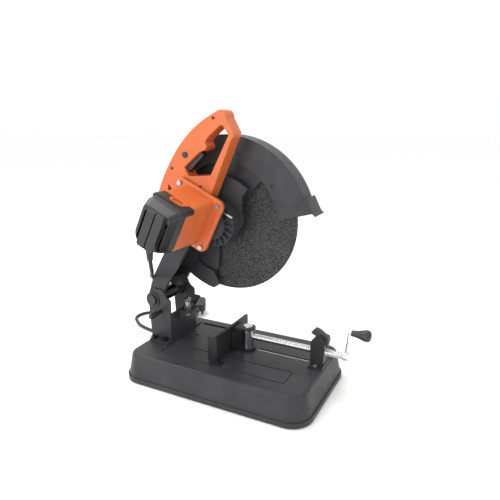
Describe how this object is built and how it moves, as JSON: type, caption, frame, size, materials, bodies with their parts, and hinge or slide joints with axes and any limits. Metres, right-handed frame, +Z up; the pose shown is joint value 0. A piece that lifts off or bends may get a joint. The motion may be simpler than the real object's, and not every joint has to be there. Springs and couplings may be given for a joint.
{
  "type": "abrasive cut-off saw",
  "caption": "Bench cut-off saw with a raised hinged arm, motor, guarded abrasive wheel, D-handle with trigger, and a base with fence and screw vise.",
  "frame": {"origin": "centre of the base's footprint on the surface it stands on, centre of the four bench bolts", "axes": "+X from the arm's hinge to the vise crank, +Y from the motor to the cutting wheel, +Z up"},
  "size_m": [0.7587, 0.4667, 0.6143],
  "materials": {
    "black_coat": "satin powder coat",
    "vise_coat": "satin powder coat",
    "foot_rubber": "matt",
    "orange_plastic": "fine grain",
    "black_plastic": "fine grain",
    "grey_plastic": "fine grain",
    "cord_rubber": "matt",
    "abrasive": "gritty resin-bonded abrasive",
    "chrome": "polished",
    "laminations": "rough",
    "black_steel": "black oxide",
    "zinc_steel": "zinc plated"
  },
  "bodies": {
    "base": {"base_shell": "black_coat", "foot_1": "foot_rubber", "foot_2": "foot_rubber", "foot_3": "foot_rubber", "foot_4": "foot_rubber", "hinge_bracket": "black_coat", "bracket_bolt_1": "black_steel", "bracket_bolt_2": "black_steel", "bracket_bolt_3": "black_steel", "bracket_bolt_4": "black_steel", "pivot_pin": "black_steel", "pivot_nut": "black_steel", "return_spring": "black_steel", "stop_bolt": "zinc_steel", "stop_nut": "zinc_steel", "fence": "vise_coat", "fence_bolt_1": "black_steel", "fence_bolt_2": "black_steel", "vise_nut_block": "vise_coat", "vise_bolt_1": "zinc_steel", "vise_bolt_2": "zinc_steel", "cord_floor": "cord_rubber", "cord_coil": "cord_rubber", "cord_lead": "cord_rubber", "plug": "black_plastic"},
    "arm": {"swing_arm": "black_coat", "bearing_plate": "black_coat", "guard_near": "black_coat", "guard_far": "black_coat", "guard_flap": "black_coat", "motor_housing": "orange_plastic", "motor_bolt_1": "zinc_steel", "motor_bolt_2": "zinc_steel", "motor_bolt_3": "zinc_steel", "motor_bolt_4": "zinc_steel", "end_cap": "grey_plastic", "stator": "laminations", "handle_near": "orange_plastic", "handle_far": "orange_plastic", "trigger_switch": "black_plastic", "cord_arm": "cord_rubber", "cord_guard": "cord_rubber"},
    "spindle": {"spindle": "zinc_steel", "spindle_gear": "zinc_steel", "inner_flange": "zinc_steel", "outer_flange": "zinc_steel", "cutting_wheel": "abrasive", "wheel_bolt": "zinc_steel"},
    "armature": {"armature": "zinc_steel", "cooling_fan": "black_plastic"},
    "trigger": {"trigger": "black_plastic"},
    "lock_button": {"lock_button": "black_plastic"},
    "spindle_lock": {"spindle_lock": "zinc_steel"},
    "lock_pin": {"lock_pin": "black_plastic"},
    "vise_lever": {"vise_lever": "black_plastic"},
    "jaw": {"vise_jaw": "vise_coat", "jaw_pin": "chrome"},
    "screw": {"vise_screw": "chrome", "crank_arm": "chrome"},
    "knob": {"crank_knob": "black_plastic"}
  },
  "joints": [
    {"name": "arm_swing", "type": "hinge", "parent": "base", "child": "arm", "pos_m": [-0.21, 0.022, 0.167], "axis": [0, 1, 0], "range_deg": [0, 35.9], "stiffness_Nm_per_rad": 12, "springref_deg": -126.05},
    {"name": "spindle_spin", "type": "hinge", "parent": "arm", "child": "spindle", "pos_m": [-0.062, 0.06, 0.3605], "axis": [0, 1, 0], "continuous": true},
    {"name": "armature_spin", "type": "hinge", "parent": "arm", "child": "armature", "pos_m": [-0.10694, -0.04, 0.38242], "axis": [0, 1, 0], "continuous": true},
    {"name": "trigger_pull", "type": "hinge", "parent": "arm", "child": "trigger", "pos_m": [-0.126, 0.025, 0.489], "axis": [0, -1, 0], "range_deg": [0, 7], "stiffness_Nm_per_rad": 0.4, "springref_deg": -8.59},
    {"name": "lock_button_press", "type": "slide", "parent": "arm", "child": "lock_button", "axis": [0, 1, 0], "range_m": [0, 0.003], "stiffness_N_per_m": 400, "springref_m": -0.003},
    {"name": "spindle_lock_slide", "type": "slide", "parent": "arm", "child": "spindle_lock", "axis": [-0.8988, 0, 0.4384], "range_m": [0, 0.004], "stiffness_N_per_m": 600, "springref_m": -0.003},
    {"name": "lock_pin_slide", "type": "slide", "parent": "base", "child": "lock_pin", "axis": [0, 1, 0], "range_m": [0, 0.01]},
    {"name": "lever_lift", "type": "hinge", "parent": "base", "child": "vise_lever", "pos_m": [0.208, 0.02, 0.134], "axis": [0, -1, 0], "range_deg": [0, 40]},
    {"name": "jaw_slide", "type": "slide", "parent": "base", "child": "jaw", "axis": [1, 0, 0], "range_m": [0, 0.09]},
    {"name": "screw_turn", "type": "hinge", "parent": "jaw", "child": "screw", "pos_m": [0.1, 0.02, 0.1], "axis": [1, 0, 0], "range_deg": [0, 8100]},
    {"name": "knob_spin", "type": "hinge", "parent": "screw", "child": "knob", "pos_m": [0.28796, 0.02, 0.15669], "axis": [1, 0, 0], "continuous": true}
  ],
  "couplings": [
    {"joint": "armature_spin", "follows": "spindle_spin", "ratio": -5.1538},
    {"joint": "jaw_slide", "follows": "screw_turn", "m_per_rad": 0.00063662}
  ]
}
